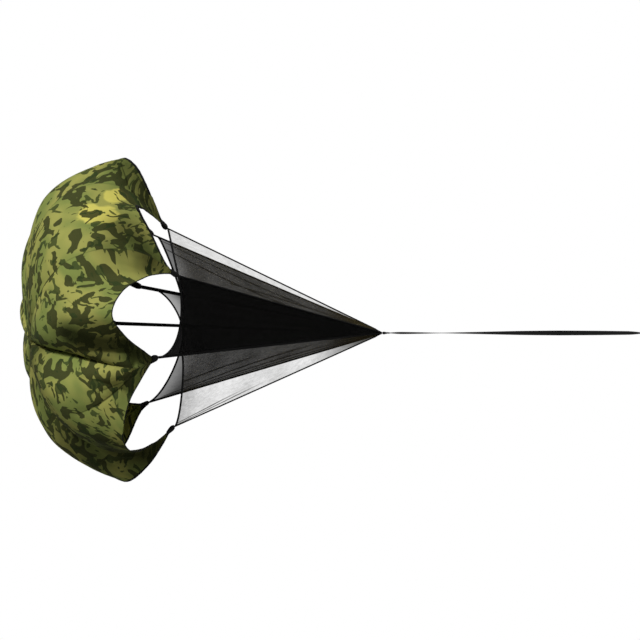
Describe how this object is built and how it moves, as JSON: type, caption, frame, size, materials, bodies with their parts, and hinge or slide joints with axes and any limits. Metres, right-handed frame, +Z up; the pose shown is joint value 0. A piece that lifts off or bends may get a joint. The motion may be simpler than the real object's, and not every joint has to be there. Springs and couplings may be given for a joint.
{
  "type": "speed parachute",
  "caption": "Inflated running resistance parachute with eight camouflage gores, black mesh between its lines, a twisted webbing strap and a swivel snap hook.",
  "frame": {"origin": "where the belt's ring bears inside the bow of the snap hook", "axes": "+X along the pull, from the crown of the canopy towards the runner; +Z up; +Y away from the pictured side"},
  "size_m": [2.1729, 0.9395, 1.0287],
  "materials": {
    "camo_cloth": "satin",
    "black_binding": "matte",
    "black_mesh": "matte",
    "black_line": "matte",
    "black_webbing": "matte",
    "nickel": "satin",
    "spring_steel": "satin"
  },
  "bodies": {
    "hook": {"hook_body": "nickel", "gate_pin": "spring_steel", "gate_spring": "spring_steel"},
    "gate": {"gate": "nickel"},
    "strap": {"swivel_eye": "nickel", "strap": "black_webbing", "strap_pocket": "black_webbing"},
    "knot": {"line_knot": "black_line"},
    "canopy": {"gore_1": "camo_cloth", "gore_2": "camo_cloth", "gore_3": "camo_cloth", "gore_4": "camo_cloth", "gore_5": "camo_cloth", "gore_6": "camo_cloth", "gore_7": "camo_cloth", "gore_8": "camo_cloth", "crown_patch": "camo_cloth", "hem_binding_1": "black_binding", "hem_binding_2": "black_binding", "hem_binding_3": "black_binding", "hem_binding_4": "black_binding", "hem_binding_5": "black_binding", "hem_binding_6": "black_binding", "hem_binding_7": "black_binding", "hem_binding_8": "black_binding", "corner_patch_1": "black_binding", "corner_patch_2": "black_binding", "corner_patch_3": "black_binding", "corner_patch_4": "black_binding", "corner_patch_5": "black_binding", "corner_patch_6": "black_binding", "corner_patch_7": "black_binding", "corner_patch_8": "black_binding", "line_1": "black_line", "line_2": "black_line", "line_3": "black_line", "line_4": "black_line", "line_5": "black_line", "line_6": "black_line", "line_7": "black_line", "line_8": "black_line", "mesh_panel_1": "black_mesh", "mesh_panel_2": "black_mesh", "mesh_panel_3": "black_mesh", "mesh_panel_4": "black_mesh", "mesh_panel_5": "black_mesh", "mesh_panel_6": "black_mesh", "mesh_hem_1": "black_binding", "mesh_hem_2": "black_binding", "mesh_hem_3": "black_binding", "mesh_hem_4": "black_binding", "mesh_hem_5": "black_binding", "mesh_hem_6": "black_binding", "line_gather": "black_line"}
  },
  "joints": [
    {"name": "gate_hinge", "type": "hinge", "parent": "hook", "child": "gate", "pos_m": [-0.0265, 0, 0.005], "axis": [0, 1, 0], "range_deg": [0, 25], "stiffness_Nm_per_rad": 0.08, "springref_deg": -20.05, "deforming": ["gate_spring"]},
    {"name": "swivel", "type": "hinge", "parent": "hook", "child": "strap", "pos_m": [-0.0375, 0, 0], "axis": [1, 0, 0], "continuous": true},
    {"name": "canopy_yaw", "type": "hinge", "parent": "strap", "child": "knot", "pos_m": [-0.9985, 0, 0], "axis": [0, 0, 1], "range_deg": [-30, 30], "stiffness_Nm_per_rad": 60},
    {"name": "canopy_pitch", "type": "hinge", "parent": "knot", "child": "canopy", "pos_m": [-0.9985, 0, 0], "axis": [0, 1, 0], "range_deg": [-30, 30], "stiffness_Nm_per_rad": 60, "springref_deg": 2.25}
  ]
}
